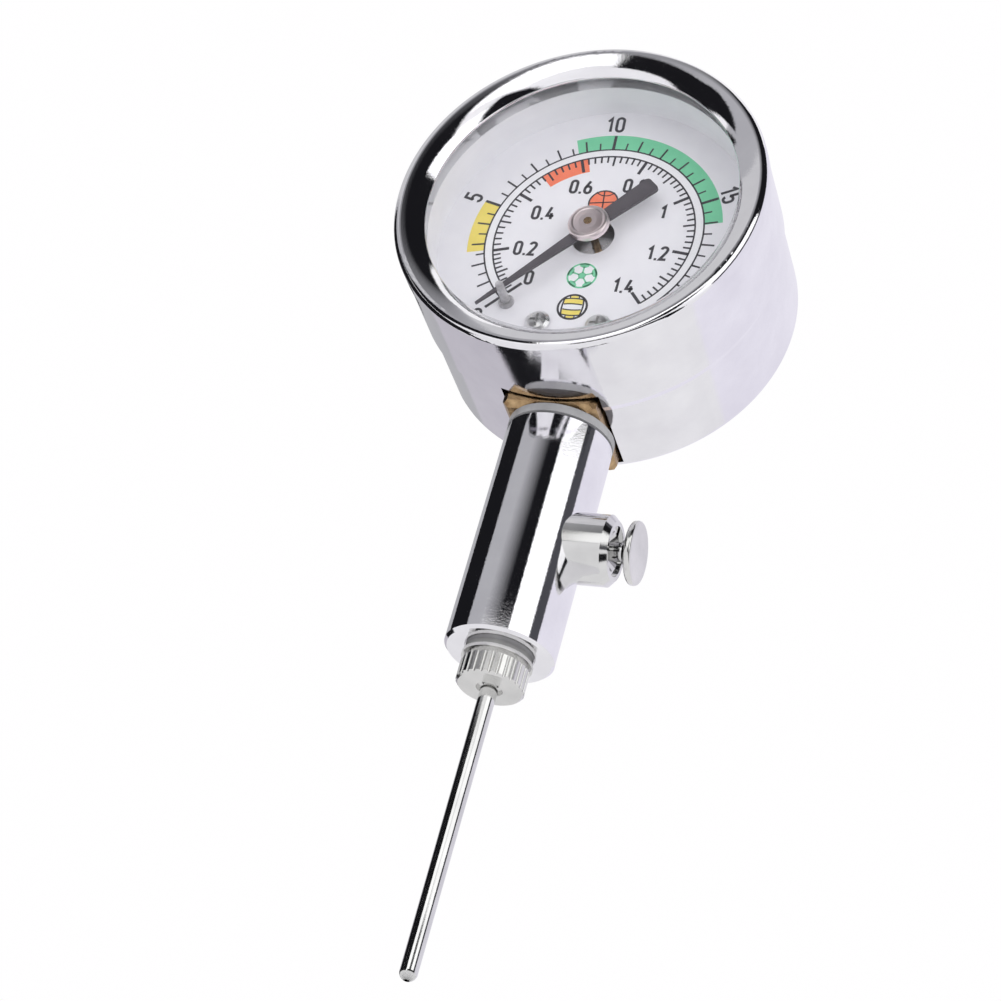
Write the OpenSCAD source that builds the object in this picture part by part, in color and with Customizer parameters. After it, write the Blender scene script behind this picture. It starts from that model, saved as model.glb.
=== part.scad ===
// Ball pressure gauge with a screw-in needle and a push-button bleed valve.
// Origin: on the stem axis, at the needle hub's lower face. +Z up the stem, the dial faces -Y.

/* [Head] */
// Radius of the bezel's skirt, the widest part of the head
bezel_r = 22.4; // [22:0.1:23]
// Radius of the front part of the case wall
case_front_r = 22.3; // [22.2:0.05:22.35]
// Radius of the rear part of the case wall
case_rear_r = 22; // [21.9:0.05:22.15]
// Inner radius of the case
case_inner_r = 21.3; // [21.25:0.05:21.35]
// Height of the dial's centre above the needle hub's lower face
dial_z = 57.7; // [57.5:0.1:58]
// Front face of the dial, measured from the stem axis
dial_y = -7.6; // [-7.65:0.05:-7.55]
// Radius of the bezel's opening over the glass
glass_r = 18.8; // [18.4:0.1:18.9]

/* [Movement] */
// Pointer angle at rest, clockwise from straight up
pointer_rest = -137; // [-138:0.5:-136]
// Angle that the pointer turns from its stop to the end of the scale
pointer_sweep = 277; // [270:1:277]
// Length of the pointer from its arbor to its point
pointer_len = 16.5; // [15:0.5:17]
// Gear module of the pinion and the sector
gear_module = 0.2; // [0.2:0.01:0.2]
// Radius of the Bourdon tube's centre line
tube_r = 14.2; // [14.1:0.05:14.3]
// How far the tube's free end travels at full scale
tube_travel = 2; // [1.8:0.1:2.1]

/* [Stem] */
// Radius of the stem
stem_r = 6.37; // [6.3:0.01:6.4]
// Lower end of the stem
stem_bottom = 4.26; // [4.2:0.02:4.3]
// Upper end of the stem
stem_top = 33.4; // [33.3:0.1:33.5]

/* [Bleed valve] */
// Height of the valve's axis
valve_z = 19.1; // [17:0.1:22]
// Radius of the valve housing
housing_r = 4.15; // [4:0.05:4.3]
// Outer end of the valve housing, measured from the stem axis
housing_end = 10.25; // [10.15:0.05:10.4]
// Radius of the push button
button_r = 3.7; // [3.4:0.1:4]
// Travel of the push button
button_travel = 1.5; // [1:0.1:1.5]

/* [Needle] */
// Outside radius of the needle
needle_r = 1; // [0.95:0.05:1.05]
// Length of the needle below its hub
needle_len = 35.2; // [30:0.2:40]
// Radius of the fluted needle hub
hub_r = 3.95; // [3.9:0.05:4]
// Outside radius of the needle's thread
thread_r = 2.08; // [2.05:0.01:2.1]
// Number of flutes around the hub
flute_count = 28; // [20:1:30]

/* [Hidden] */
$fn = 96;
join = 0.004;

// depths along Y, from the front of the head to its back
front_y = -16.05;
skirt_y = -13.75;
back_y = 9;
back_wall = 0.8;
kink_y = -3.1;
gasket_y = [-14.25, -13.85];
lens_y = [-13.85, -12.25];
spacer_flange_y = -11.65;
dial_back_y = dial_y + 0.4;
cap_y = [-10.7, -9.7];
pointer_y = [-9.7, -9.3];
front_plate_y = [-5.6, -4.9];
rear_plate_y = [-1.6, -0.9];
sector_y = [-4, -3.3];
link_y = [-3.1, -2.7];
spring_y = [-2.7, -2.1];
tube_y = 2.6;

// case and bezel sections
bezel_edge_r = 0.8;
bezel_lip_r = 0.25;
bezel_crown_r = 6;
bezel_wall = 0.55;
lip_y = -15.1;
window = [12, 13.8];
window_at = [-0.6, 1.1];
case_screw_x = 4;
case_screw_z = -15.5;
case_screw_r = 1;

// dial furniture, in the front view from the dial's centre
dial_r = 20.9;
dial_hole_r = 2.6;
dial_screw_x = 3.7;
dial_screw_z = -13;
stop_pin_at = 13.26 * [-sin(141.3), cos(141.3)];

// gear train: the sector turns the pinion, 7 to 1
pinion_teeth = 12;
sector_teeth = 84;
pinion_pitch_r = gear_module * pinion_teeth / 2;
sector_pitch_r = gear_module * sector_teeth / 2;
sector_at = [0, -pinion_pitch_r - sector_pitch_r];
sector_sweep = pointer_sweep * pinion_teeth / sector_teeth;
addendum = 0.8 * gear_module;
dedendum = 1.2 * gear_module;
arbor_r = 0.5;
arbor_hole_r = 0.57;

// link between the sector and the tube's free end, in the front view
link_pin_r = 0.35;
link_hole_r = 0.42;
link_open_r = 0.55;
link_arm = 1.8;
link_arm_mid = 60;
link_arm_rest = link_arm_mid - sector_sweep / 2;
sector_pin_at = sector_at + link_arm * [cos(link_arm_rest), sin(link_arm_rest)];
tip_pin_at = [-11.2, -8.6];

// Bourdon tube: a flat oval tube bent into a C
tube_half = [0.8, 2.5];
tube_wall = 0.25;
tube_root_angle = -100;
tube_end_angle = 204;

// socket block
block_half = 6.2;
block_top = -11.1;
block_shoulder = -20;
block_bottom = 34.4;
plinth_gap = 0.3;
neck_half = 5;
neck_top = -7;
block_rear_y = 7.6;
spigot_r = 4;
spigot_end = 28.5;
passage_r = 0.9;

// plates and their fixings, in the front view
pillar_at = [[-7, -1.5], [7, -1.5]];
mounting_at = [[-3.6, -9.4], [3.6, -9.4]];
hairspring_r = [1.1, 3.4];
hairspring_turns = 3.25;

// bleed valve, from the stem axis outwards
chamber_r = 2.2;
spigot_x = 2.4;
chamber_x = 3;
flange_x = [6.6, 7];
seal_x = [7, 8];
gland_x = [8, 9.9];
gland_r = 2.9;
plunger_r = 1.1;
seal_r = 1.9;
button_x = [12.1, 13];
spring_wire_r = 0.15;
spring_turns = 4.5;

// needle fitting
thread_top = 10.2;
flange_z = [3.3, 3.7];
washer_z = [3.7, 4.5];
shank_r = 0.75;

// ---------- helpers ----------

// turns a profile drawn as [radius, y] about the dial's axis
module about_dial() {
    translate([0, 0, dial_z]) rotate([-90, 0, 0]) rotate_extrude() children();
}

// turns a profile about the dial's axis from angle a to b, counter-clockwise in the front view
module arc_about_dial(a, b) {
    translate([0, 0, dial_z]) rotate([-90, 0, 0]) rotate([0, 0, -b])
        rotate_extrude(angle = b - a) children();
}

// extrudes a shape drawn in the front view between the two depths in y
module front_view(y) {
    translate([0, y[1], dial_z]) rotate([90, 0, 0]) linear_extrude(y[1] - y[0]) children();
}

// places a body of revolution, drawn up from z = 0, at a front-view point and pointing to -Y
module facing_front(at, y) {
    translate([at.x, y, dial_z + at.y]) rotate([90, 0, 0]) children();
}

// places a body drawn along Z so that it runs along +X on the valve's axis
module along_valve() {
    translate([0, 0, valve_z]) rotate([0, 90, 0]) children();
}

// corners of the straight sides between two circles, a hair inside them so that the three shapes join
function band(c1, r1, c2, r2) =
    let (d = c2 - c1, a = atan2(d.y, d.x), b = acos((r1 - r2) / norm(d)))
    [for (p = [[c1, r1, a + b], [c2, r2, a + b], [c2, r2, a - b], [c1, r1, a - b]])
        p[0] + (p[1] - join) * [cos(p[2]), sin(p[2])]];

// centre that is r1 from c1 and r2 from c2, on the right of the way from c1 to c2
function crown_centre(c1, r1, c2, r2) =
    let (d = norm(c2 - c1), u = (c2 - c1) / d, along = (r1 * r1 - r2 * r2 + d * d) / (2 * d))
    c1 + along * u + sqrt(r1 * r1 - along * along) * [u.y, -u.x];

// bar with round ends, drawn in the front view between the two depths in y
module front_bar(y, c1, r1, c2, r2) {
    front_view(y) translate(c1) circle(r1);
    front_view(y) translate(c2) circle(r2);
    front_view(y) polygon(band(c1, r1, c2, r2));
}

module ring(outer, inner) {
    difference() {
        circle(outer);
        circle(inner);
    }
}

module span(r, a, b) {
    rotate_extrude() translate([r[0], a]) square([r[1] - r[0], b - a]);
}

// pie slice from angle a to b, larger than radius r
module slice(a, b, r) {
    mid = (a + b) / 2;
    far = r / cos((b - a) / 4);
    polygon([[0, 0], for (t = [a, (a + mid) / 2, mid, (b + mid) / 2, b]) far * [cos(t), sin(t)]]);
}

// straight-sided gear tooth centred on angle a, with its half widths at the root, pitch circle and tip
module tooth(a, pitch_r, half) {
    root = pitch_r - dedendum;
    rotate(a) polygon([[root - 0.15, -half[0]], [root, -half[0]], [pitch_r, -half[1]],
        [pitch_r + addendum, -half[2]], [pitch_r + addendum, half[2]], [pitch_r, half[1]],
        [root, half[0]], [root - 0.15, half[0]]]);
}

// cross-headed screw standing on z = 0 with its shank below
module cross_screw(head_r, head_h, shank_r, shank_l) {
    slot = head_r * 0.22;
    difference() {
        rotate_extrude() polygon([[0, -shank_l], [shank_r, -shank_l], [shank_r, 0], [head_r, 0],
            [head_r, head_h * 0.45], [head_r * 0.75, head_h * 0.85], [head_r * 0.4, head_h], [0, head_h]]);
        for (a = [0, 90]) rotate(a) translate([0, 0, head_h * 0.7])
            cube([head_r * 1.2, slot, head_h], center = true);
    }
}

// ---------- head ----------

module case_body() {
    color("gainsboro") difference() {
        about_dial() {
            polygon([[case_inner_r, lip_y], [bezel_r - bezel_wall, lip_y], [bezel_r - bezel_wall, skirt_y],
                [case_front_r, skirt_y], [case_front_r, kink_y - 0.5], [case_rear_r, kink_y + 0.5],
                [case_rear_r, back_y - back_wall], [case_rear_r - back_wall, back_y], [0, back_y],
                [0, back_y - back_wall], [case_inner_r, back_y - back_wall]]);
            translate([case_rear_r - back_wall, back_y - back_wall]) circle(back_wall);
        }
        translate([window_at.x - window.x / 2, window_at.y - window.y / 2, dial_z - 30])
            cube([window.x, window.y, 14]);
        for (s = [-1, 1]) translate([s * case_screw_x, back_y, dial_z + case_screw_z])
            rotate([90, 0, 0]) cylinder(h = back_wall, r1 = case_screw_r + 0.95, r2 = case_screw_r + 0.05);
    }
}

module bezel() {
    edge = [bezel_r - bezel_edge_r, front_y + bezel_edge_r];
    lip = [glass_r + bezel_lip_r, gasket_y[0] - bezel_lip_r];
    crown = crown_centre(edge, bezel_crown_r - bezel_edge_r, lip, bezel_crown_r - bezel_lip_r);
    color("gainsboro") difference() {
        union() {
            about_dial() translate(edge) circle(bezel_edge_r);
            about_dial() translate(lip) circle(bezel_lip_r);
            about_dial() polygon(band(edge, bezel_edge_r, lip, bezel_lip_r));
            about_dial() intersection() {
                translate(crown) circle(bezel_crown_r);
                polygon([edge, crown + 1.3 * (edge - crown), crown + 1.3 * (lip - crown), lip]);
            }
            about_dial() polygon([[bezel_r - bezel_wall, skirt_y], [bezel_r, skirt_y], [bezel_r, edge.y],
                [edge.x, edge.y], [edge.x, lip_y - 0.1]]);
        }
        about_dial() polygon([[lip.x + bezel_lip_r, gasket_y[0]], [21, gasket_y[0]], [21, lip_y - 0.05],
            [bezel_r - bezel_wall, lip_y - 0.05], [bezel_r - bezel_wall, skirt_y + 1], [lip.x, skirt_y + 1]]);
    }
}

module lens() {
    bevel = 0.2;
    lens_r = case_inner_r - 0.2;
    color("white", 0.3) about_dial() polygon([[0, lens_y[0]], [lens_r - bevel, lens_y[0]],
        [lens_r, lens_y[0] + bevel], [lens_r, lens_y[1]], [0, lens_y[1]]]);
}

module lens_gasket() {
    color("white") about_dial() translate([glass_r + 0.55, gasket_y[0]])
        square([1.6, gasket_y[1] - gasket_y[0]]);
}

module spacer_ring() {
    inner = glass_r + 0.4;
    color("white") about_dial() polygon([[inner, lens_y[1]], [case_inner_r - 0.1, lens_y[1]],
        [case_inner_r - 0.1, spacer_flange_y], [inner + 0.7, spacer_flange_y], [inner + 0.7, dial_y],
        [inner, dial_y]]);
}

// countersunk screws, flush with the back of the case
module case_screws() {
    head_r = 1.85;
    color("silver") for (s = [-1, 1])
        translate([s * case_screw_x, back_y, dial_z + case_screw_z]) rotate([-90, 0, 0]) difference() {
            rotate_extrude() polygon([[0, -5], [case_screw_r, -5], [case_screw_r, -back_wall],
                [head_r, -0.05], [head_r, 0], [0, 0]]);
            for (a = [0, 90]) rotate(a) cube([head_r * 1.3, head_r * 0.22, 1], center = true);
        }
}

// ---------- dial and pointer ----------

module dial_plate() {
    color("white") front_view([dial_y, dial_back_y]) difference() {
        circle(dial_r);
        circle(dial_hole_r);
        for (s = [-1, 1]) translate([s * dial_screw_x, dial_screw_z]) circle(0.75);
        translate(stop_pin_at) circle(0.4);
    }
}

module dial_screws() {
    color("silver") for (s = [-1, 1])
        facing_front([s * dial_screw_x, dial_screw_z], dial_y) cross_screw(1.5, 0.8, 0.7, 4);
}

module stop_pin() {
    height = 4;
    color("white", 0.6) facing_front(stop_pin_at, dial_y) rotate_extrude() {
        polygon([[0, -0.9], [0.4, -0.9], [0.4, 0], [0.95, 0], [0.95, 0.35], [0.75, 0.6], [0.55, 0.6],
            [0.5, height - 0.5], [0, height - 0.5]]);
        intersection() {
            translate([0, height - 0.5]) circle(0.5);
            translate([0, height - 0.6]) square(1);
        }
    }
}

module pointer() {
    tail = 9.4;
    tail_half = 1.15;
    corner_r = 0.5;
    color("dimgray") difference() {
        union() {
            front_view(pointer_y) circle(1.9);
            front_view(pointer_y) rotate(-pointer_rest) polygon([
                [-0.8, 0], [-0.1, pointer_len], [0.1, pointer_len], [0.8, 0],
                [tail_half, corner_r - tail], [tail_half - corner_r, join - tail],
                [corner_r - tail_half, join - tail], [-tail_half, corner_r - tail]]);
            for (s = [-1, 1]) front_view(pointer_y) rotate(-pointer_rest)
                translate([s * (tail_half - corner_r - join), corner_r - tail]) circle(corner_r);
        }
        front_view(pointer_y + [-1, 1]) circle(arbor_r);
    }
}

module pointer_cap() {
    cap_r = 2.5;
    edge = 0.45;
    color("silver") facing_front([0, 0], cap_y[1]) rotate_extrude() {
        polygon([[arbor_r, 0], [cap_r - 0.2, 0], [cap_r, 0.2], [cap_r, cap_y[1] - cap_y[0] - edge],
            [cap_r - edge, cap_y[1] - cap_y[0] - 0.12], [1.1, cap_y[1] - cap_y[0]],
            [arbor_r, cap_y[1] - cap_y[0]]]);
        translate([cap_r - edge, cap_y[1] - cap_y[0] - edge]) circle(edge);
    }
}

module pointer_bush() {
    color("goldenrod") facing_front([0, 0], pointer_y[1] + 1) span([arbor_r, 1], 0, 1);
}

module pinion_arbor() {
    pinion_y = [-4.3, -2.9];
    color("goldenrod") {
        facing_front([0, 0], -0.75) cylinder(h = 10, r = arbor_r);
        front_view(pinion_y) circle(pinion_pitch_r - dedendum);
        for (k = [0 : pinion_teeth - 1]) front_view(pinion_y)
            tooth(-75 + k * 360 / pinion_teeth, pinion_pitch_r, [0.15, 0.12, 0.06]);
    }
}

module hairspring_collet() {
    color("goldenrod") facing_front([0, 0], spring_y[1] + 0.05) span([arbor_r, hairspring_r[0]], 0, 0.7);
}

// ribbon wound outwards from the collet to the stud
module hairspring() {
    step = 15;
    half = 0.06;
    total = hairspring_turns * 360;
    growth = (hairspring_r[1] - hairspring_r[0] - half) / total;
    function at(a, side) = (hairspring_r[0] + half + growth * a + side * half) * [cos(a), sin(a)];
    color("goldenrod") front_view(spring_y) polygon(concat(
        [for (a = [0 : step : total]) at(a, 1)], [for (a = [total : -step : 0]) at(a, -1)]));
}

module hairspring_stud() {
    a = hairspring_turns * 360;
    color("goldenrod") facing_front((hairspring_r[1] + 0.41) * [cos(a), sin(a)], rear_plate_y[0])
        cylinder(h = 1.2, r = 0.35);
}

// ---------- movement ----------

module sector_gear() {
    pitch = 360 / sector_teeth;
    spare = 2;
    first = -ceil(sector_sweep / pitch) - spare;
    low = 90 + (first - 0.5) * pitch;
    high = 90 + (spare + 0.5) * pitch;
    rim_r = sector_pitch_r - dedendum;
    color("goldenrod") difference() {
        union() {
            front_view(sector_y) translate(sector_at) intersection() {
                ring(rim_r, rim_r - 1);
                slice(low, high, rim_r);
            }
            for (k = [first : spare]) front_view(sector_y) translate(sector_at)
                tooth(90 + k * pitch, sector_pitch_r, [0.16, 0.12, 0.05]);
            for (a = [low + 4, high - 4])
                front_bar(sector_y, sector_at, 0.8, sector_at + (rim_r - 0.6) * [cos(a), sin(a)], 0.4);
            front_bar(sector_y, sector_at, 1.3, sector_pin_at, 0.75);
        }
        front_view(sector_y + [-1, 1]) translate(sector_at) circle(arbor_r);
        front_view(sector_y + [-1, 1]) translate(sector_pin_at) circle(link_pin_r);
    }
}

module sector_arbor() {
    color("silver") facing_front(sector_at, rear_plate_y[1] + 0.2) cylinder(h = 5, r = arbor_r);
}

module sector_pin() {
    color("silver") facing_front(sector_pin_at, link_y[1] + 0.2) cylinder(h = 1.6, r = link_pin_r);
}

module link_bar() {
    color("silver") difference() {
        front_bar(link_y, sector_pin_at, 0.65, tip_pin_at, 0.9);
        front_view(link_y + [-1, 1]) translate(sector_pin_at) circle(link_hole_r);
        front_view(link_y + [-1, 1]) translate(tip_pin_at) circle(link_open_r);
    }
}

module plate_outline() {
    polygon([[-8, -5], [-8, 0.5], [-3, 3], [3, 3], [8, 0.5], [8, -5], [4.6, -11], [-4.6, -11]]);
}

module front_plate() {
    color("silver") front_view(front_plate_y) difference() {
        plate_outline();
        circle(arbor_hole_r);
        translate(sector_at) circle(arbor_hole_r);
        for (p = pillar_at) translate(p) circle(0.5);
    }
}

module rear_plate() {
    color("silver") front_view(rear_plate_y) difference() {
        plate_outline();
        circle(arbor_hole_r);
        translate(sector_at) circle(arbor_hole_r);
        for (p = mounting_at) translate(p) circle(0.55);
    }
}

module plate_pillars() {
    color("goldenrod") for (p = pillar_at) facing_front(p, rear_plate_y[0])
        span([0.5, 1], 0, rear_plate_y[0] - front_plate_y[1]);
}

module plate_screws() {
    color("silver") for (p = pillar_at) facing_front(p, front_plate_y[0]) cross_screw(0.9, 0.5, 0.5, 3.8);
}

module mounting_screws() {
    color("silver") for (p = mounting_at) facing_front(p, rear_plate_y[0]) cross_screw(1, 0.5, 0.55, 3);
}

// flat oval tube from angle a to b in the front view, smaller by inset all round
module oval_tube(a, b, inset) {
    flat = tube_half.y - tube_half.x;
    r = tube_half.x - inset;
    for (s = [-1, 1]) arc_about_dial(a, b) translate([tube_r, tube_y + s * flat]) circle(r);
    arc_about_dial(a, b) translate([tube_r - r + join, tube_y - flat]) square([2 * (r - join), 2 * flat]);
}

module bourdon_tube() {
    color("peru") difference() {
        oval_tube(tube_root_angle, tube_end_angle, 0);
        oval_tube(tube_root_angle + 2, tube_end_angle - 2, tube_wall);
        translate([0, tube_y, dial_z - tube_r - 1.2]) cylinder(h = 1.2, r = 0.45);
    }
}

module tube_tip() {
    color("goldenrod") {
        arc_about_dial(tube_end_angle, tube_end_angle + 19)
            translate([tube_r - 1, tube_y - 2]) square([2, 4]);
        facing_front(tip_pin_at, tube_y - 1) cylinder(h = tube_y - 1 - link_y[1] - 0.2, r = 0.8);
        facing_front(tip_pin_at, link_y[1] + 0.3) cylinder(h = 1, r = link_pin_r);
    }
}

// ---------- socket ----------

// block with its four upright corners and its lower edges bevelled
module bevelled_block(half, y, z, bevel) {
    intersection() {
        translate([0, 0, z[0]]) linear_extrude(z[1] - z[0]) polygon([
            [-half, y[0] + bevel], [bevel - half, y[0]], [half - bevel, y[0]], [half, y[0] + bevel],
            [half, y[1] - bevel], [half - bevel, y[1]], [bevel - half, y[1]], [-half, y[1] - bevel]]);
        translate([0, y[1], 0]) rotate([90, 0, 0]) linear_extrude(y[1] - y[0]) polygon([
            [bevel - half, z[0]], [half - bevel, z[0]], [half, z[0] + bevel], [half, z[1]],
            [-half, z[1]], [-half, z[0] + bevel]]);
        rotate([90, 0, 90]) translate([0, 0, -half]) linear_extrude(2 * half) polygon([
            [y[0] + bevel, z[0]], [y[1] - bevel, z[0]], [y[1], z[0] + bevel], [y[1], z[1]],
            [y[0], z[1]], [y[0], z[0] + bevel]]);
    }
}

module socket_block() {
    cross_z = dial_z - 18;
    color("darkgoldenrod") difference() {
        union() {
            translate([window_at.x, 0, 0]) bevelled_block(window.x / 2 - plinth_gap,
                [window_at.y - window.y / 2 + plinth_gap, window_at.y + window.y / 2 - plinth_gap],
                [block_bottom, dial_z + block_shoulder + 1], 0.7);
            translate([-block_half, dial_back_y, dial_z + block_shoulder])
                cube([2 * block_half, block_rear_y - dial_back_y, block_top - block_shoulder]);
            translate([-neck_half, rear_plate_y[1], dial_z + block_top - 1])
                cube([2 * neck_half, block_rear_y - rear_plate_y[1], neck_top - block_top + 1]);
            translate([0, 0, spigot_end]) cylinder(h = block_bottom - spigot_end + 1, r = spigot_r);
        }
        oval_tube(tube_root_angle, -30, 0);
        translate([0, 0, spigot_end - 1]) cylinder(h = 4.2, r = 1.25);
        translate([0, 0, spigot_end]) cylinder(h = cross_z - spigot_end, r = passage_r);
        translate([0, 0, cross_z]) rotate([-90, 0, 0]) cylinder(h = block_rear_y + 1, r = passage_r);
        translate([0, tube_y, cross_z]) cylinder(h = dial_z - tube_r - cross_z, r = 0.45);
        for (s = [-1, 1]) {
            facing_front([s * dial_screw_x, dial_screw_z], dial_y + 4) cylinder(h = 5, r = 0.7);
            facing_front([s * case_screw_x, case_screw_z], block_rear_y + 1)
                cylinder(h = 5, r = case_screw_r);
        }
        for (p = mounting_at) facing_front(p, rear_plate_y[1] + 2.5) cylinder(h = 4, r = 0.55);
        facing_front(sector_at, rear_plate_y[1] + 0.6) cylinder(h = 2, r = 0.9);
    }
}

module passage_plug() {
    color("goldenrod") translate([0, block_rear_y - 1.6, dial_z - 18]) rotate([-90, 0, 0])
        cylinder(h = 1.5, r = passage_r);
}

module restrictor() {
    color("goldenrod") translate([0, 0, spigot_end + 0.2]) span([0.3, 1.25], 0, 3);
}

// ---------- stem ----------

module stem() {
    bevel = 0.35;
    color("gainsboro") difference() {
        rotate_extrude() polygon([[0, stem_bottom], [stem_r - bevel, stem_bottom],
            [stem_r, stem_bottom + bevel], [stem_r, stem_top - bevel], [stem_r - bevel, stem_top], [0, stem_top]]);
        translate([0, 0, spigot_end - 0.3]) cylinder(h = 10, r = spigot_r + 0.05);
        translate([0, 0, stem_bottom - 1]) cylinder(h = 30, r = 1.5);
        translate([0, 0, stem_bottom - 1]) cylinder(h = thread_top + 2 - stem_bottom, r = thread_r + 0.05);
        translate([0, 0, stem_bottom - 1]) cylinder(h = washer_z[1] - stem_bottom + 1, r = 4);
        along_valve() cylinder(h = 9, r = 0.8);
        along_valve() translate([0, 0, spigot_x]) cylinder(h = 9, r = 3);
    }
}

module stem_washer() {
    color("silver") span([spigot_r + 0.05, stem_r], stem_top, block_bottom);
}

// ---------- bleed valve ----------

module valve_housing() {
    bevel = 0.7;
    color("gainsboro") difference() {
        union() {
            difference() {
                along_valve() rotate_extrude() polygon([[0, 3], [housing_r, 3],
                    [housing_r, housing_end - bevel], [housing_r - bevel, housing_end], [0, housing_end]]);
                cylinder(h = 60, r = stem_r);
            }
            along_valve() translate([0, 0, spigot_x]) cylinder(h = 6, r = 3);
        }
        along_valve() {
            cylinder(h = 8, r = 0.6);
            translate([0, 0, chamber_x]) cylinder(h = 8, r = chamber_r);
            translate([0, 0, gland_x[0]]) cylinder(h = 8, r = gland_r);
        }
    }
}

// screwed-in bush that the plunger runs in, countersunk, with two spanner notches
module valve_gland() {
    sink_r = 2.3;
    bore_r = plunger_r + 0.1;
    color("silver") along_valve() difference() {
        rotate_extrude() polygon([[bore_r, gland_x[0]], [gland_r, gland_x[0]], [gland_r, gland_x[1]],
            [sink_r, gland_x[1]], [bore_r, gland_x[1] - 1]]);
        for (s = [-1, 1]) translate([s * 2.6, 0, gland_x[1]]) cube([0.9, 0.8, 1], center = true);
    }
}

module valve_plunger() {
    color("silver") along_valve() {
        cylinder_between(flange_x[0], flange_x[1], seal_r);
        cylinder_between(flange_x[1], button_x[0] + 0.5, plunger_r);
        cylinder_between(flange_x[0] - 0.8, flange_x[0], 1);
    }
}

module cylinder_between(a, b, r) {
    translate([0, 0, a]) cylinder(h = b - a, r = r);
}

module valve_seal() {
    color("dimgray") along_valve() span([plunger_r, seal_r], seal_x[0], seal_x[1]);
}

// round wire swept along a helix between the chamber's floor and the plunger's flange
module valve_spring() {
    coil_r = seal_r - spring_wire_r - 0.05;
    sides = 8;
    per_turn = 16;
    rings = spring_turns * per_turn;
    start = chamber_x + spring_wire_r;
    rise = (flange_x[0] - chamber_x - 2 * spring_wire_r) / rings;
    points = [for (k = [0 : rings], s = [0 : sides - 1])
        let (a = k * 360 / per_turn, b = s * 360 / sides, r = coil_r + spring_wire_r * cos(b))
        [r * cos(a), r * sin(a), start + k * rise + spring_wire_r * sin(b)]];
    function corner(k, s) = k * sides + s % sides;
    skin = [for (k = [0 : rings - 1], s = [0 : sides - 1])
        [corner(k, s), corner(k + 1, s), corner(k + 1, s + 1), corner(k, s + 1)]];
    ends = [[for (s = [0 : sides - 1]) s], [for (s = [sides - 1 : -1 : 0]) rings * sides + s]];
    color("silver") along_valve() polyhedron(points, concat(skin, ends));
}

module button_head() {
    edge = 0.35;
    color("silver") along_valve() difference() {
        rotate_extrude() {
            polygon([[0, button_x[0] - 0.8], [1.5, button_x[0] - 0.8], [2.2, button_x[0]],
                [button_r - edge, button_x[0]], [button_r, button_x[0] + edge],
                [button_r, button_x[1] - edge], [button_r - edge, button_x[1]], [0, button_x[1]]]);
            for (x = [button_x[0] + edge, button_x[1] - edge]) translate([button_r - edge, x]) circle(edge);
        }
        cylinder(h = button_x[0] + 0.5, r = plunger_r);
    }
}

// ---------- needle ----------

module needle_hub() {
    neck_r = 3.45;
    flange_r = 4.1;
    flute_top = 2.75;
    bevel = 0.3;
    groove_r = 0.22;
    color("silver") difference() {
        rotate_extrude() polygon([[0, 0], [hub_r - bevel, 0], [hub_r, bevel], [hub_r, flute_top],
            [neck_r, flute_top + 0.15], [neck_r, flange_z[0]], [flange_r, flange_z[0]],
            [flange_r, flange_z[1]], [thread_r, flange_z[1]], [thread_r, thread_top - 0.4],
            [thread_r - 0.4, thread_top], [0, thread_top]]);
        for (k = [0 : flute_count - 1]) rotate(k * 360 / flute_count)
            translate([hub_r + 0.05, 0, -1]) cylinder(h = flute_top + 1.05, r = groove_r);
        translate([0, 0, -1]) cylinder(h = 20, r = shank_r);
        translate([0, 0, -1]) cylinder(h = 1.35, r = needle_r + 0.55);
    }
}

module needle_tube() {
    bore_r = 0.5;
    port_r = 0.35;
    color("silver") difference() {
        union() {
            translate([0, 0, needle_r - needle_len]) cylinder(h = needle_len - needle_r, r = needle_r);
            translate([0, 0, needle_r - needle_len]) sphere(needle_r);
            cylinder(h = thread_top - 0.7, r = shank_r);
        }
        translate([0, 0, 1.5 - needle_len]) cylinder(h = 60, r = bore_r);
        translate([0, 0, -needle_len - 1]) cylinder(h = 4, r = port_r);
    }
}

module needle_washer() {
    color("dimgray") span([thread_r + 0.07, hub_r - 0.05], washer_z[0], washer_z[1]);
}

case_body();  // case
bezel();
lens();
lens_gasket();
spacer_ring();
case_screws();
dial_plate();
dial_screws();
stop_pin();
pointer();
pointer_cap();
pointer_bush();
pinion_arbor();
hairspring_collet();
hairspring();
hairspring_stud();
sector_gear();
sector_arbor();
sector_pin();
link_bar();
front_plate();
rear_plate();
plate_pillars();
plate_screws();
mounting_screws();
bourdon_tube();
tube_tip();
socket_block();
passage_plug();
restrictor();
stem();
stem_washer();
valve_housing();
valve_gland();
valve_plunger();
valve_seal();
valve_spring();
button_head();
needle_hub();
needle_tube();
needle_washer();
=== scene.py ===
"""Looks of the ball pressure gauge: materials, printed dial, studio and camera.

Lengths are in millimetres until MM turns them into metres. On the dial, x is to the right and y is up,
from its centre, and angles go clockwise from straight up.
"""

import math

import bmesh
import bpy
from mathutils import Matrix, Vector


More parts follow.
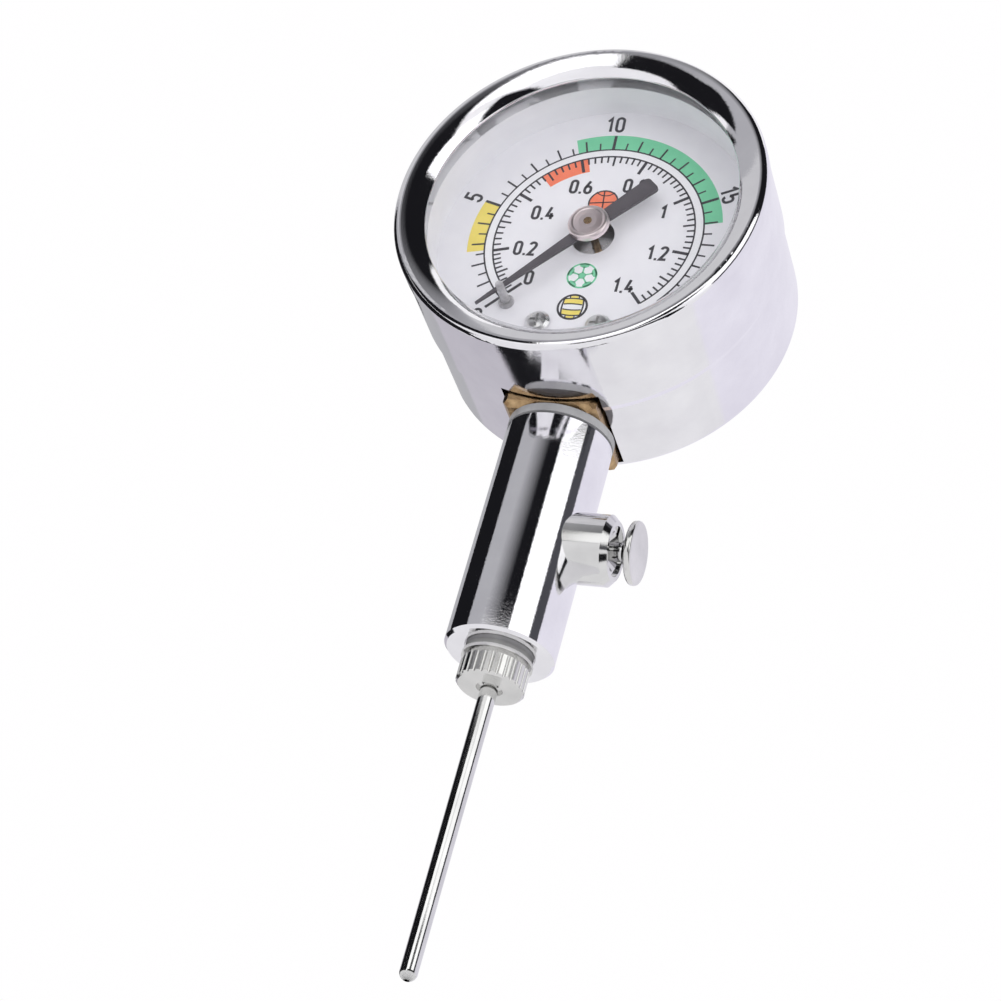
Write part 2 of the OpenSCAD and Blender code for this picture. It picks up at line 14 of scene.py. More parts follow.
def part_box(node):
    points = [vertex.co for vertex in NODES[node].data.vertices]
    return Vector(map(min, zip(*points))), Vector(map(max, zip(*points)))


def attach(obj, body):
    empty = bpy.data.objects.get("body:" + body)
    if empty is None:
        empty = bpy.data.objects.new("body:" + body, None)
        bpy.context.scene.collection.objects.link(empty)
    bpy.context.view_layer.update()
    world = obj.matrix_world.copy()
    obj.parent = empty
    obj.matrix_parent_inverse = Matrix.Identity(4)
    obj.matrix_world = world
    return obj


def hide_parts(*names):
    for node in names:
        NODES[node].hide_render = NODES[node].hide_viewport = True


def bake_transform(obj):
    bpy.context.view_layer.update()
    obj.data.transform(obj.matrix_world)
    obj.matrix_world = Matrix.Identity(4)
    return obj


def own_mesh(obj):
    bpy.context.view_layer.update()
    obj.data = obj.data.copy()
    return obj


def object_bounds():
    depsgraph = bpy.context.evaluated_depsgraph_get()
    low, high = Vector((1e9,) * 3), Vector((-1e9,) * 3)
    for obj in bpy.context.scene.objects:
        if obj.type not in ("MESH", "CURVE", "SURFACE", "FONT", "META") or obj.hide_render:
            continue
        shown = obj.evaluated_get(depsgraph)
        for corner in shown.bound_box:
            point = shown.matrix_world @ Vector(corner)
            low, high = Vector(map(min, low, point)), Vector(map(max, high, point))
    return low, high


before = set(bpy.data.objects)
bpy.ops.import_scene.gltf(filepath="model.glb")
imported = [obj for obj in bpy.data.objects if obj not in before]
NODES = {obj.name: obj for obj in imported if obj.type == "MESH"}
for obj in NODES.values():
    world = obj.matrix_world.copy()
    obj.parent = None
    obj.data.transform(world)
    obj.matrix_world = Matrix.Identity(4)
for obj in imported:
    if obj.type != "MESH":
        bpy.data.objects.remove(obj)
cad_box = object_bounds()

MM = 0.001

# ---------- camera ----------

CAMERA_AZIMUTH = 22.70
CAMERA_ELEVATION = -29.73
CAMERA_ROLL = 16.35
CAMERA_DISTANCE = 324.05
CAMERA_AIM = Vector((-5.08, 0.0, 24.63))
CAMERA_LENS = 100.7
SENSOR = 36.0

# ---------- materials ----------

TOOL_MARK = 0.12

# ---------- floor and lamps ----------

FLOOR_HALF = 1500
FLOOR_GAP = 0.2
LAMP_AIM = Vector((0, 0, 30))

# ---------- dial print ----------

PRINT_RING_OUTER = 13.37
PRINT_RING_INNER = 12.30
PRINT_LINE = 0.2
PSI_MARKS = [(0, -136.0), (5, -72.5), (10, -2.75), (15, 65.0), (20, 132.0)]
BAR_MARKS = [(0, -136.0), (0.2, -103.0), (0.4, -61.0), (0.6, -20.0),
             (0.8, 19.0), (1, 58.0), (1.2, 99.0), (1.4, 140.0)]
ZONE_LIFT = 0.02
INK_LIFT = 0.035
# how often a mark of a kind comes, its length and its width, with the longest kind first
PSI_KINDS = [(10, 2.15, 0.36), (2, 1.65, 0.23), (1, 1.05, 0.2)]
BAR_KINDS = [(10, 2.0, 0.38), (5, 1.45, 0.24), (1, 0.95, 0.22)]
PSI_MARKS_PER_UNIT = 2
BAR_MARKS_PER_UNIT = 50
# inner and outer radius, first and last angle
YELLOW_ZONE = (PRINT_RING_OUTER, 15.55, -102, -72.5)
GREEN_ZONE = (PRINT_RING_OUTER, 15.6, -21, 79)
ORANGE_ZONE = (10.2, PRINT_RING_INNER, -44.5, -16)
WHITE_BAND = (PRINT_RING_INNER, PRINT_RING_OUTER, -136, 140)
# middle and radius of each ball
FOOTBALL = ((0.0, -5.83), 1.86)
VOLLEYBALL = ((-0.08, -10.45), 1.88)
BASKETBALL = ((0.0, 5.2), 1.86)
DIGIT_HEIGHT = 1.8
DIGIT_WIDTH = 0.74
DIGIT_STROKE = 0.34
DIGIT_GAP = 0.54
ONE_WIDTH = 0.36
OUTER_TEXT_SIZE = 1.15
# numerals of the outer scale, with the radius and angle of their middles
OUTER_TEXT = [("0", 17.2, -136.0), ("5", 17.3, -72.5), ("10", 17.3, -4.0), ("15", 16.95, 65.0),
              ("20", 17.2, 132.0)]
# numerals of the inner scale, with the place of their middles
INNER_TEXT = [("0", (-6.45, -6.5)), ("0.2", (-8.0, -2.2)), ("0.4", (-7.1, 3.25)), ("0.6", (-3.3, 7.45)),
              ("0.8", (3.4, 7.9)), ("1", (7.75, 4.15)), ("1.2", (8.45, -2.0)), ("1.4", (5.4, -7.0))]


# ---------- node helpers ----------


def new_material(name):
    """An empty material with its output, and a function that adds nodes to it."""
    material = bpy.data.materials.new(name)
    material.use_nodes = True
    tree = material.node_tree
    tree.nodes.clear()
    output = tree.nodes.new("ShaderNodeOutputMaterial")

    def add(kind, **settings):
        node = tree.nodes.new("ShaderNode" + kind)
        for key, value in settings.items():
            if key in node.inputs:
                node.inputs[key].default_value = value
            else:
                setattr(node, key, value)
        return node

    return material, tree.links.new, add, output


def noise(add, link, coordinates, size, detail=3.0, stretch=(1, 1, 1)):
    """Noise whose features are about size millimetres across, stretched along the axes."""
    mapping = add("Mapping")
    mapping.inputs["Scale"].default_value = [1 / (size * MM * s) for s in stretch]
    texture = add("TexNoise", Scale=1.0, Detail=detail, Roughness=0.55)
    link(coordinates.outputs["Object"], mapping.inputs["Vector"])
    link(mapping.outputs["Vector"], texture.inputs["Vector"])
    return texture.outputs["Fac"]


def spread(add, link, value, low, high, source=(0.3, 0.7)):
    """Maps a noise value on to the range from low to high."""
    remap = add("MapRange")
    remap.inputs["From Min"].default_value = source[0]
    remap.inputs["From Max"].default_value = source[1]
    remap.inputs["To Min"].default_value = low
    remap.inputs["To Max"].default_value = high
    link(value, remap.inputs["Value"])
    return remap.outputs["Result"]


def two_tone(add, link, value, dark, light, source=(0.3, 0.7)):
    """A colour between dark and light that follows a noise value."""
    mix = add("Mix", data_type="RGBA")
    link(spread(add, link, value, 0, 1, source), mix.inputs["Factor"])
    for socket, colour in zip([s for s in mix.inputs if s.type == "RGBA"], (dark, light)):
        socket.default_value = (*colour, 1)
    return [s for s in mix.outputs if s.type == "RGBA"][0]


def bumps(add, link, layers):
    """Chains bump nodes. A layer is a height socket and the height in millimetres of its full range."""
    normal = None
    for height, millimetres in layers:
        bump = add("Bump", Strength=1.0, Distance=millimetres * MM)
        link(height, bump.inputs["Height"])
        if normal:
            link(normal, bump.inputs["Normal"])
        normal = bump.outputs["Normal"]
    return normal


# ---------- materials ----------


def plated_metal(name, dark, light, roughness, grain=0.002, wave=0.004, brush=None):
    """Bright plated metal: pitted grain, slow waves, and fine scratches if brush gives their stretch."""
    material, link, add, output = new_material(name)
    place = add("TexCoord")
    shader = add("BsdfPrincipled", Metallic=1.0)
    fine = noise(add, link, place, 0.18, 2.0)
    slow = noise(add, link, place, 3.5, 1.0)
    smudge = noise(add, link, place, 6.0, 4.0)
    layers = [(slow, wave), (fine, grain)]
    if brush:
        layers.append((noise(add, link, place, 0.08, 2.0, brush), 0.0012))
    link(two_tone(add, link, smudge, dark, light), shader.inputs["Base Color"])
    link(spread(add, link, smudge, *roughness), shader.inputs["Roughness"])
    link(bumps(add, link, layers), shader.inputs["Normal"])
    link(shader.outputs[0], output.inputs["Surface"])
    return material


def turned_metal(name, dark, light, roughness):
    """Machined brass, bronze or steel, with tool marks and a mottled tarnish."""
    material, link, add, output = new_material(name)
    place = add("TexCoord")
    shader = add("BsdfPrincipled", Metallic=1.0)
    tarnish = noise(add, link, place, 1.4, 5.0)
    marks = noise(add, link, place, TOOL_MARK, 2.0, (8, 8, 1))
    link(two_tone(add, link, tarnish, dark, light), shader.inputs["Base Color"])
    link(spread(add, link, tarnish, *roughness), shader.inputs["Roughness"])
    link(bumps(add, link, [(marks, 0.002), (tarnish, 0.004)]), shader.inputs["Normal"])
    link(shader.outputs[0], output.inputs["Surface"])
    return material


def moulded(name, dark, light, roughness, grain=0.25, height=0.003):
    """Paint, plastic or rubber with a fine moulded grain."""
    material, link, add, output = new_material(name)
    place = add("TexCoord")
    shader = add("BsdfPrincipled", Metallic=0.0)
    mottle = noise(add, link, place, 2.5, 4.0)
    fine = noise(add, link, place, grain, 3.0)
    link(two_tone(add, link, mottle, dark, light), shader.inputs["Base Color"])
    link(spread(add, link, mottle, *roughness), shader.inputs["Roughness"])
    link(bumps(add, link, [(fine, height)]), shader.inputs["Normal"])
    link(shader.outputs[0], output.inputs["Surface"])
    return material


def window_glass(name):
    """Clear flat glass: see-through, with a mirror reflection that grows at a glancing angle."""
    material, link, add, output = new_material(name)
    place = add("TexCoord")
    clear = add("BsdfTransparent", Color=(0.995, 0.995, 1.0, 1))
    mirror = add("BsdfGlossy", Color=(1, 1, 1, 1))
    facing = add("LayerWeight", Blend=0.5)
    rise = add("Math", operation="POWER")
    rise.inputs[1].default_value = 4.0
    link(facing.outputs["Facing"], rise.inputs[0])
    mix = add("MixShader")
    dust = noise(add, link, place, 5.0, 4.0)
    link(spread(add, link, dust, 0.0, 0.03), mirror.inputs["Roughness"])
    link(spread(add, link, rise.outputs[0], 0.03, 1.0, (0, 1)), mix.inputs[0])
    link(clear.outputs[0], mix.inputs[1])
    link(mirror.outputs[0], mix.inputs[2])
    link(mix.outputs[0], output.inputs["Surface"])
    return material


def clear_plastic(name):
    """Clear moulded pin: see-through in the middle and pale grey towards its outline."""
    material, link, add, output = new_material(name)
    place = add("TexCoord")
    shader = add("BsdfPrincipled", Roughness=0.12, IOR=1.45)
    facing = add("LayerWeight", Blend=0.35)
    clear = add("BsdfTransparent", Color=(0.93, 0.93, 0.94, 1))
    mix = add("MixShader")
    cloud = noise(add, link, place, 0.8, 3.0)
    link(two_tone(add, link, cloud, (0.42, 0.41, 0.42), (0.75, 0.74, 0.75)), shader.inputs["Base Color"])
    link(bumps(add, link, [(cloud, 0.01)]), shader.inputs["Normal"])
    link(spread(add, link, facing.outputs["Facing"], 0.45, 0.95, (0, 1)), mix.inputs[0])
    link(clear.outputs[0], mix.inputs[1])
    link(shader.outputs[0], mix.inputs[2])
    link(mix.outputs[0], output.inputs["Surface"])
    return material


CHROME = plated_metal("chrome", (0.84, 0.83, 0.865), (0.925, 0.92, 0.945), (0.03, 0.07), 0.004)
NICKEL = plated_metal("nickel", (0.66, 0.66, 0.66), (0.8, 0.8, 0.79), (0.07, 0.12), 0.0015, 0.003, (1, 1, 12))
SATIN = plated_metal("satin_nickel", (0.62, 0.62, 0.61), (0.80, 0.795, 0.78), (0.13, 0.22), 0.003, 0.003)
CAP = plated_metal("cap_metal", (0.86, 0.75, 0.75), (0.95, 0.84, 0.84), (0.26, 0.34), 0.002, 0.002)
SCREW = plated_metal("screw_metal", (0.80, 0.80, 0.80), (0.90, 0.90, 0.89), (0.22, 0.32), 0.003, 0.003)
STEEL = turned_metal("bright_steel", (0.42, 0.42, 0.42), (0.62, 0.61, 0.60), (0.22, 0.34))
BRASS = turned_metal("brass", (0.25, 0.15, 0.075), (0.60, 0.42, 0.23), (0.22, 0.36))
BRONZE = turned_metal("bronze", (0.36, 0.20, 0.10), (0.55, 0.34, 0.18), (0.22, 0.36))
DIAL_WHITE = moulded("dial_white", (0.83, 0.825, 0.86), (0.87, 0.865, 0.895), (0.38, 0.48), 0.3, 0.001)
RING_WHITE = moulded("ring_white", (0.88, 0.88, 0.91), (0.92, 0.92, 0.94), (0.30, 0.42))
SEAL_WHITE = moulded("seal_white", (0.88, 0.88, 0.90), (0.93, 0.93, 0.94), (0.5, 0.65))
SEAL_GREY = moulded("seal_grey", (0.27, 0.27, 0.27), (0.36, 0.36, 0.355), (0.55, 0.7))
WASHER_GREY = moulded("washer_grey", (0.33, 0.33, 0.34), (0.43, 0.43, 0.44), (0.5, 0.62))
POINTER_PAINT = moulded("pointer_paint", (0.072, 0.064, 0.075), (0.09, 0.08, 0.093), (0.4, 0.5), 0.15, 0.002)
INK = moulded("ink_dark", (0.040, 0.038, 0.046), (0.055, 0.052, 0.062), (0.5, 0.62))
INK_GREEN = moulded("ink_green", (0.17, 0.62, 0.35), (0.20, 0.67, 0.39), (0.48, 0.6))
INK_YELLOW = moulded("ink_yellow", (0.86, 0.70, 0.13), (0.92, 0.76, 0.17), (0.48, 0.6))
INK_ORANGE = moulded("ink_orange", (0.93, 0.19, 0.09), (0.98, 0.25, 0.13), (0.48, 0.6))
INK_WHITE = moulded("ink_white", (0.86, 0.86, 0.88), (0.90, 0.90, 0.92), (0.48, 0.6))
GLASS = window_glass("window_glass")
PIN_CLEAR = clear_plastic("pin_clear")

FINISHES = {
    "case": CHROME, "bezel": CHROME, "stem": CHROME, "valve_housing": NICKEL,
    "lens": GLASS, "stop_pin": PIN_CLEAR, "spacer_ring": RING_WHITE, "lens_gasket": SEAL_WHITE,
    "dial_plate": DIAL_WHITE, "pointer": POINTER_PAINT, "pointer_cap": CAP,
    "pointer_bush": BRASS, "pinion_arbor": BRASS, "hairspring_collet": BRASS, "hairspring": BRONZE,
    "hairspring_stud": BRASS, "sector_gear": BRASS, "tube_tip": BRASS, "plate_pillars": BRASS,
    "socket_block": BRASS, "passage_plug": BRASS, "restrictor": BRASS, "bourdon_tube": BRONZE,
    "sector_arbor": STEEL, "sector_pin": STEEL, "link_bar": STEEL, "front_plate": SCREW, "rear_plate": STEEL,
    "plate_screws": STEEL, "mounting_screws": STEEL, "dial_screws": SCREW, "case_screws": STEEL,
    "valve_spring": STEEL, "valve_plunger": NICKEL, "valve_gland": NICKEL, "button_head": SATIN,
    "needle_hub": SATIN, "needle_tube": NICKEL, "needle_washer": SEAL_GREY, "valve_seal": SEAL_GREY,
    "stem_washer": WASHER_GREY,
}


def finish_nodes():
    """Gives every CAD node its material."""
    for name, node in NODES.items():
        node.data.materials.clear()
        node.data.materials.append(FINISHES[name])


# ---------- dial print ----------

dial_low, dial_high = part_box("dial_plate")
DIAL_CENTRE = Vector(((dial_low.x + dial_high.x) / 2, dial_low.y, (dial_low.z + dial_high.z) / 2))


def on_dial(point, lift):
    """The place in the row frame of a point on the dial, lifted off its face towards the front."""
    return DIAL_CENTRE + Vector((point[0], -lift, point[1])) * MM


def polar(radius, angle):
    a = math.radians(angle)
    return Vector((radius * math.sin(a), radius * math.cos(a)))


def arc(radius, start, end, centre=(0, 0), step=3.0):
    """Points along an arc, from start to end in degrees clockwise from straight up."""
    count = max(2, round(abs(end - start) / step))
    return [Vector(centre) + polar(radius, start + (end - start) * k / count) for k in range(count + 1)]


def shift(points, by):
    return [Vector(p) + Vector(by) for p in points]


class Print:
    """One printed layer: closed thin shapes that stand a hair proud of the dial."""

    def __init__(self, lift):
        self.lift = lift
        self.mesh = bmesh.new()

    def patch(self, outline):
        """A filled convex outline."""
        count = len(outline)
        top = [self.mesh.verts.new(on_dial(p, self.lift)) for p in outline]
        base = [self.mesh.verts.new(on_dial(p, 0)) for p in outline]
        self.mesh.faces.new(top)
        self.mesh.faces.new(base[::-1])
        for k in range(count):
            self.mesh.faces.new((top[k], base[k], base[(k + 1) % count], top[(k + 1) % count]))

    def stroke(self, path, width, closed=False):
        """A line of the given width along a path, with mitred corners."""
        count = len(path)
        sides = []
        for k, p in enumerate(path):
            back = path[k - 1] if k or closed else None
            ahead = path[(k + 1) % count] if k < count - 1 or closed else None
            before = (p - back).normalized() if back else (ahead - p).normalized()
            after = (ahead - p).normalized() if ahead else before
            across = Vector((-before.y - after.y, before.x + after.x)).normalized()
            reach = width / 2 / max(0.45, across.dot(Vector((-before.y, before.x))))
            sides.append((p + across * reach, p - across * reach))
        rings = [[self.mesh.verts.new(on_dial(q, lift)) for q, lift in
                  ((a, self.lift), (b, self.lift), (b, 0), (a, 0))] for a, b in sides]
        for k in range(count if closed else count - 1):
            near, far = rings[k], rings[(k + 1) % count]
            for s in range(4):
                self.mesh.faces.new((near[s], near[(s + 1) % 4], far[(s + 1) % 4], far[s]))
        if not closed:
            self.mesh.faces.new(rings[0])
            self.mesh.faces.new(rings[-1][::-1])

    def disc(self, centre, radius):
        self.patch(arc(radius, 0, 345, centre, 15))

    def piece(self, name, material):
        """Makes the layer an object that rides on the gauge's body."""
        bmesh.ops.recalc_face_normals(self.mesh, faces=self.mesh.faces)
        data = bpy.data.meshes.new(name)
        self.mesh.to_mesh(data)
        self.mesh.free()
        data.materials.append(material)
        made = bpy.data.objects.new(name, data)
        bpy.context.scene.collection.objects.link(made)
        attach(made, "gauge_body")
        return made


def between(marks, value):
    """The angle of a reading, in a straight line between the marks on either side of it."""
    for (low, a), (high, b) in zip(marks, marks[1:]):
        if value <= high:
            return a + (b - a) * (value - low) / (high - low)
    return marks[-1][1]


def zone(name, material, inner, outer, start, end):
    layer = Print(ZONE_LIFT)
    layer.stroke(arc((inner + outer) / 2, start, end), outer - inner)
    layer.piece(name, material)


def graduations():
    """The two ring lines, the psi marks outside them and the bar marks inside them."""
    layer = Print(INK_LIFT)
    scales = [(PSI_MARKS, PSI_KINDS, PSI_MARKS_PER_UNIT, PRINT_RING_OUTER, 1),
              (BAR_MARKS, BAR_KINDS, BAR_MARKS_PER_UNIT, PRINT_RING_INNER, -1)]
    for marks, _, _, radius, _ in scales:
        layer.stroke(arc(radius, marks[0][1], marks[-1][1]), PRINT_LINE)
    for marks, kinds, per_unit, radius, outward in scales:
        for k in range(round(marks[-1][0] * per_unit) + 1):
            length, width = next((long, wide) for every, long, wide in kinds if k % every == 0)
            angle = between(marks, k / per_unit)
            layer.stroke([polar(radius, angle), polar(radius + outward * length, angle)], width)
    layer.piece("print_graduations", INK)


def digit_paths():
    """Centre lines of the digits used, in a cell DIGIT_WIDTH by DIGIT_HEIGHT, with closed flags."""
    w, h = DIGIT_WIDTH, DIGIT_HEIGHT
    r = w / 2
    low, high = (r, r), (r, h - r)
    bowl = 0.56 * h
    loop = arc(r, -90, 90, high) + arc(r, 90, 270, low)
    ring_low = arc(r, -90, 90, (r, bowl - r)) + arc(r, 90, 270, low)
    small = 0.88 * r
    ring_high = arc(small, -90, 90, (r, h - small)) + arc(small, 90, 270, (r, bowl + small * 0.9))
    return {
        "0": [(loop, True)],
        "1": [([Vector((0, h - 0.42)), Vector((ONE_WIDTH, h)), Vector((ONE_WIDTH, 0))], False)],
        "2": [(arc(r, -80, 100, high) + [Vector((w - 0.12, h - 2.1 * r)), Vector((0, 0)), Vector((w, 0))],
               False)],
        "4": [([Vector((0.50 * w, h)), Vector((0, 0.27 * h)), Vector((1.12 * w, 0.27 * h))], False),
              ([Vector((0.72 * w, 0.5 * h)), Vector((0.72 * w, 0))], False)],
        "5": [([Vector((w, h)), Vector((0.04, h)), Vector((0.02, bowl - 0.06))]
               + arc(r, -50, 90, (r, bowl - r + 0.04)) + arc(r, 90, 260, low), False)],
        "6": [(ring_low, True), ([Vector((0.66 * w, h)), Vector((0.03, bowl - 0.5 * r))], False)],
        "8": [(ring_low, True), (ring_high, True)],
    }


DIGITS = digit_paths()


def advance(c):
    """Distance from one character's centre line to where the next one starts."""
    if c == ".":
        return DIGIT_GAP
    return (ONE_WIDTH + 0.08 if c == "1" else DIGIT_WIDTH) + DIGIT_GAP


def write(layer, text, middle, turn=0.0, size=1.0):
    """Writes a number about its middle, turned clockwise by an angle."""
    cosine, sine = math.cos(math.radians(turn)), math.sin(math.radians(turn))
    width = sum(advance(c) for c in text) - DIGIT_GAP

    def place(p):
        x, y = (p[0] - width / 2) * size, (p[1] - DIGIT_HEIGHT / 2) * size
        return Vector((middle[0] + x * cosine + y * sine, middle[1] - x * sine + y * cosine))

    cursor = 0
    for c in text:
        if c == ".":
            dot = [(cursor + x, y) for x, y in ((-0.15, -0.14), (0.15, -0.14), (0.15, 0.16), (-0.15, 0.16))]
            layer.patch([place(p) for p in dot])
        else:
            for path, closed in DIGITS[c]:
                layer.stroke([place((p[0] + cursor, p[1])) for p in path], DIGIT_STROKE, closed)
        cursor += advance(c)


def numerals():
    layer = Print(INK_LIFT)
    for text, middle in INNER_TEXT:
        write(layer, text, middle)
    for text, radius, angle in OUTER_TEXT:
        write(layer, text, polar(radius, angle), angle, OUTER_TEXT_SIZE)
    layer.piece("print_numerals", INK)


def football(centre, radius):
    """White ball with a green outline, a pentagon in the middle and five patches at its edge."""
    base = Print(ZONE_LIFT)
    base.disc(centre, radius)
    base.piece("print_football_white", INK_WHITE)
    layer = Print(INK_LIFT)
    layer.stroke(arc(radius - 0.1, 0, 350, centre, 10), 0.22, True)
    corners = [polar(0.30 * radius, 72 * k) for k in range(5)]
    layer.patch(shift(corners, centre))
    for k in range(5):
        layer.stroke(shift([polar(0.2 * radius, 72 * k), polar(0.72 * radius, 72 * k)], centre), 0.2)
        shape = [(0.60, 0), (0.78, 22), (0.97, 20), (0.98, 0), (0.97, -20), (0.78, -22)]
        layer.patch(shift([polar(share * radius, 72 * k + turn) for share, turn in shape], centre))
    layer.piece("print_football_green", INK_GREEN)


def bow(half, level, bulge, upright=False):
    """A shallow curve across the middle of a ball, or up it if upright, that bulges away from the middle."""
    points = []
    for k in range(9):
        t = k / 4 - 1
        out = math.copysign(abs(level) + bulge * (1 - t * t), level)
        points.append((out, t * half) if upright else (t * half, out))
    return points


def volleyball(centre, radius):
    """White ball with a dark outline and dark seams round yellow stripes."""
    white = Print(ZONE_LIFT)
    white.disc(centre, radius)
    white.piece("print_volleyball_white", INK_WHITE)
    yellow = Print(0.5 * (ZONE_LIFT + INK_LIFT))
    dark = Print(INK_LIFT)
    dark.stroke(arc(radius - 0.13, 0, 350, centre, 10), 0.27, True)
    for side in (-1, 1):
        dark.stroke(shift(bow(0.70 * radius, side * 0.60 * radius, 0.08 * radius, True), centre), 0.2)
        for level, bulge in ((0.19, 0.05), (0.60, 0.06)):
            dark.stroke(shift(bow(0.60 * radius, side * level * radius, bulge * radius), centre), 0.17)
        yellow.stroke(shift(bow(0.62 * radius, side * 0.395 * radius, 0.055 * radius), centre), 0.62)
        yellow.stroke(shift(bow(0.24 * radius, side * 0.78 * radius, 0.02 * radius), centre), 0.4)
        for x in (-0.29, 0.29):
            seam = [(x * radius, side * 0.64 * radius), (x * radius, side * 0.9 * radius)]
            dark.stroke(shift(seam, centre), 0.15)
    yellow.piece("print_volleyball_yellow", INK_YELLOW)
    dark.piece("print_volleyball_dark", INK)


def basketball(centre, radius):
    """Orange ball with a dark outline and seams."""
    base = Print(ZONE_LIFT)
    base.disc(centre, radius)
    base.piece("print_basketball_orange", INK_ORANGE)
    layer = Print(INK_LIFT)
    layer.stroke(arc(radius - 0.08, 0, 350, centre, 10), 0.2, True)
    layer.stroke(shift([(-0.95 * radius, -0.1 * radius), (0.95 * radius, 0.1 * radius)], centre), 0.16)
    layer.stroke(shift([(0.1 * radius, -0.95 * radius), (-0.1 * radius, 0.95 * radius)], centre), 0.16)
    for side in (-1, 1):
        start = 130 if side > 0 else -50
        seam = arc(0.8 * radius, start, start + 100, (0, side * 1.35 * radius))
        layer.stroke(shift(seam, centre), 0.14)
    layer.piece("print_basketball_dark", INK)


def print_dial():
    zone("print_zone_yellow", INK_YELLOW, *YELLOW_ZONE)
    zone("print_zone_green", INK_GREEN, *GREEN_ZONE)
    zone("print_zone_orange", INK_ORANGE, *ORANGE_ZONE)
    zone("print_band_white", INK_WHITE, *WHITE_BAND)
    graduations()
    numerals()
    football(*FOOTBALL)
    volleyball(*VOLLEYBALL)
    basketball(*BASKETBALL)


# ---------- pieces that stand in for nodes ----


def soft_copy(node):
    """A piece of the same shape and finish that stands for a node, which it hides."""
    made = bpy.data.objects.new(node + "_soft", NODES[node].data.copy())
    made.matrix_world = NODES[node].matrix_world.copy()
    bpy.context.scene.collection.objects.link(made)
    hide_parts(node)
    return made


def soft_spring():
    """A copy of the valve's spring, with a mesh of its own, that rides on the gauge's body."""
    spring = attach(soft_copy("valve_spring"), "gauge_body")
    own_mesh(spring)


def soft_tube():
    """A copy of the Bourdon tube, with its placing baked into its mesh."""
    tube = soft_copy("bourdon_tube")
    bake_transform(tube)


# ---------- studio ----------


def emitter(name, colour, end=None, reach=(0, 1)):
    """A plain glow, or one that changes to the end colour as x goes through the reach, in millimetres."""
    material, link, add, output = new_material(name)
    light = add("Emission", Color=(*colour, 1))
    if end:
        place = add("TexCoord")
        split = add("SeparateXYZ")
        link(place.outputs["Object"], split.inputs[0])
        across = [x * MM for x in reach]
        link(two_tone(add, link, split.outputs["X"], colour, end, across), light.inputs["Color"])
    link(light.outputs[0], output.inputs["Surface"])
    return material


def screen(name, azimuths, distance, heights, material):
    """A curved upright screen round the stem that only reflections see.

    Azimuths are in degrees, 0 in front and 90 to the right; heights are measured up from the frame's origin.
    """
    start, end = azimuths
    count = max(2, round((end - start) / 6))
    verts = []
    for k in range(count + 1):
        a = math.radians(start + (end - start) * k / count)
        for z in heights:
            verts.append(Vector((math.sin(a) * distance, -math.cos(a) * distance, z)) * MM)
    faces = [(2 * k, 2 * k + 1, 2 * k + 3, 2 * k + 2) for k in range(count)]
    data = bpy.data.meshes.new(name)
    data.from_pydata(verts, [], faces)
    data.materials.append(material)
    made = bpy.data.objects.new(name, data)
    made.visible_camera = False
    made.visible_shadow = False
    made.visible_diffuse = False
    made.visible_transmission = False
    bpy.context.scene.collection.objects.link(made)


def studio():
    """White surroundings, and dark, grey and white screens for the bright metal to reflect."""
    world = bpy.data.worlds.new("studio")
    bpy.context.scene.world = world
    world.use_nodes = True
    background = world.node_tree.nodes["Background"]
    background.inputs["Color"].default_value = (1.0, 0.995, 1.0, 1)
    background.inputs["Strength"].default_value = 1.0

    black = emitter("glow_black", (0.010, 0.010, 0.012))
    dark = emitter("glow_dark", (0.075, 0.075, 0.085))
    grey = emitter("glow_grey", (0.46, 0.46, 0.48))
    silver = emitter("glow_silver", (0.62, 0.62, 0.63))
    pale = emitter("glow_pale", (0.84, 0.82, 0.90))
    shade = emitter("glow_shade", (0.55, 0.53, 0.58))
    white = emitter("glow_white", (1.35, 1.35, 1.35))
    fade = emitter("glow_fade", (0.46, 0.46, 0.48), (0.010, 0.010, 0.012), (-106, 14))
    screen("screen_left", (-115, -62), 100, (-34, 96), black)
    screen("screen_front_left", (-62, -17.5), 300, (-34, 140), black)
    screen("screen_high_left", (-150, -32), 400, (120, 290), grey)
    screen("screen_top_left", (-150, -32), 400, (290, 1500), silver)
    screen("screen_fade", (-32, 4), 200, (102, 900), fade)
    screen("screen_front_right", (4, 25), 200, (102, 900), black)
    screen("screen_top_right", (20, 80), 380, (262, 1500), black)
    screen("screen_bright", (25, 70), 380, (-34, 262), white)
    screen("screen_front", (-19, 14), 380, (-34, 170), white)
    screen("screen_low_front", (14, 38), 200, (-34, 48), black)
    screen("screen_low_right", (-3, 91), 100, (-34, -6), black)
    screen("screen_low_left", (-157, -78), 100, (-34, -6), black)
    screen("screen_right", (70, 91), 400, (-34, 800), dark)
    screen("screen_back", (91, 200), 400, (-34, 800), pale)
    screen("screen_back_left", (200, 245), 400, (-34, 120), shade)
    screen("screen_back_near", (195, 238), 125, (-34, 32), shade)
    screen("screen_left_high", (-137, -118), 100, (92, 115), black)


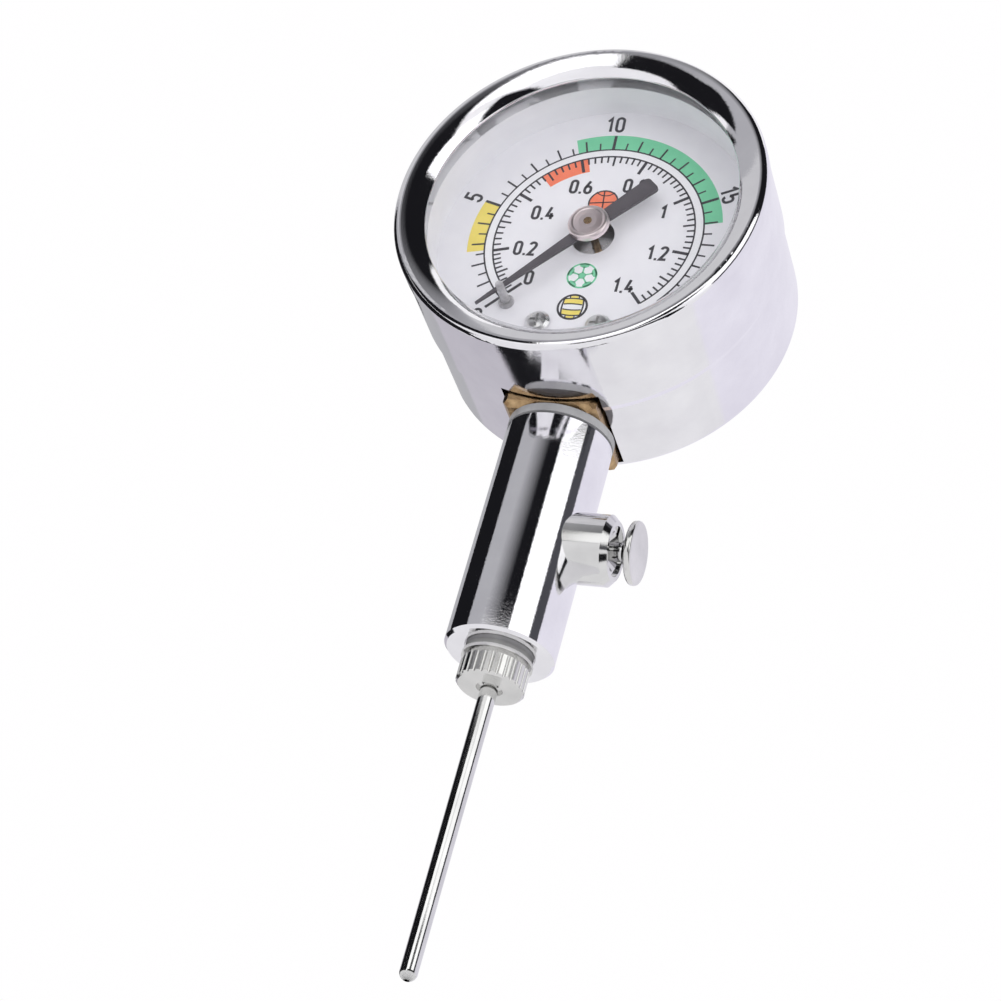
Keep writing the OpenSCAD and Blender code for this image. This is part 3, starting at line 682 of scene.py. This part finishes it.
def floor():
    """The pale floor just under the needle's tip, which can be seen through from below."""
    material, link, add, output = new_material("floor")
    place = add("TexCoord")
    shader = add("BsdfPrincipled", Roughness=0.6)
    shader.inputs["Specular IOR Level"].default_value = 0.0
    clear = add("BsdfTransparent")
    side = add("NewGeometry")
    mix = add("MixShader")
    mottle = noise(add, link, place, 60.0, 3.0)
    link(two_tone(add, link, mottle, (0.80, 0.80, 0.81), (0.84, 0.84, 0.85)), shader.inputs["Base Color"])
    link(side.outputs["Backfacing"], mix.inputs[0])
    link(shader.outputs[0], mix.inputs[1])
    link(clear.outputs[0], mix.inputs[2])
    link(mix.outputs[0], output.inputs["Surface"])
    half = FLOOR_HALF * MM
    data = bpy.data.meshes.new("floor")
    z = cad_box[0].z - FLOOR_GAP * MM
    corners = [(-half, -half, z), (half, -half, z), (half, half, z), (-half, half, z)]
    data.from_pydata(corners, [], [(0, 1, 2, 3)])
    data.materials.append(material)
    made = bpy.data.objects.new("floor", data)
    bpy.context.scene.collection.objects.link(made)


def lamp(name, azimuth, elevation, distance, size, watts):
    """A soft round lamp that reflections don't see."""
    data = bpy.data.lights.new(name, "AREA")
    data.shape = "DISK"
    data.size = size * MM
    data.energy = watts
    made = bpy.data.objects.new(name, data)
    a, e = math.radians(azimuth), math.radians(elevation)
    outward = Vector((math.sin(a) * math.cos(e), -math.cos(a) * math.cos(e), math.sin(e)))
    made.matrix_world = (Matrix.Translation((LAMP_AIM + outward * distance) * MM)
                         @ outward.to_track_quat("Z", "Y").to_matrix().to_4x4())
    made.visible_glossy = False
    bpy.context.scene.collection.objects.link(made)


def camera():
    """The camera, as far from its aim as CAMERA_DISTANCE and rolled about its own axis."""
    data = bpy.data.cameras.new("camera")
    data.sensor_width = SENSOR
    data.lens = CAMERA_LENS
    data.clip_start = 0.01
    data.clip_end = 20
    made = bpy.data.objects.new("camera", data)
    a, e = math.radians(CAMERA_AZIMUTH), math.radians(CAMERA_ELEVATION)
    back = Vector((math.sin(a) * math.cos(e), -math.cos(a) * math.cos(e), math.sin(e)))
    turn = back.to_track_quat("Z", "Y").to_matrix().to_4x4()
    made.matrix_world = (Matrix.Translation((CAMERA_AIM + back * CAMERA_DISTANCE) * MM)
                         @ turn @ Matrix.Rotation(math.radians(CAMERA_ROLL), 4, "Z"))
    bpy.context.scene.collection.objects.link(made)
    bpy.context.scene.camera = made


finish_nodes()
print_dial()
soft_spring()
soft_tube()
studio()
floor()
lamp("lamp_front", azimuth=-25, elevation=35, distance=450, size=260, watts=0.15)
lamp("lamp_fill", azimuth=45, elevation=-5, distance=450, size=300, watts=0.75)
camera()
bpy.context.scene.view_settings.view_transform = "Standard"
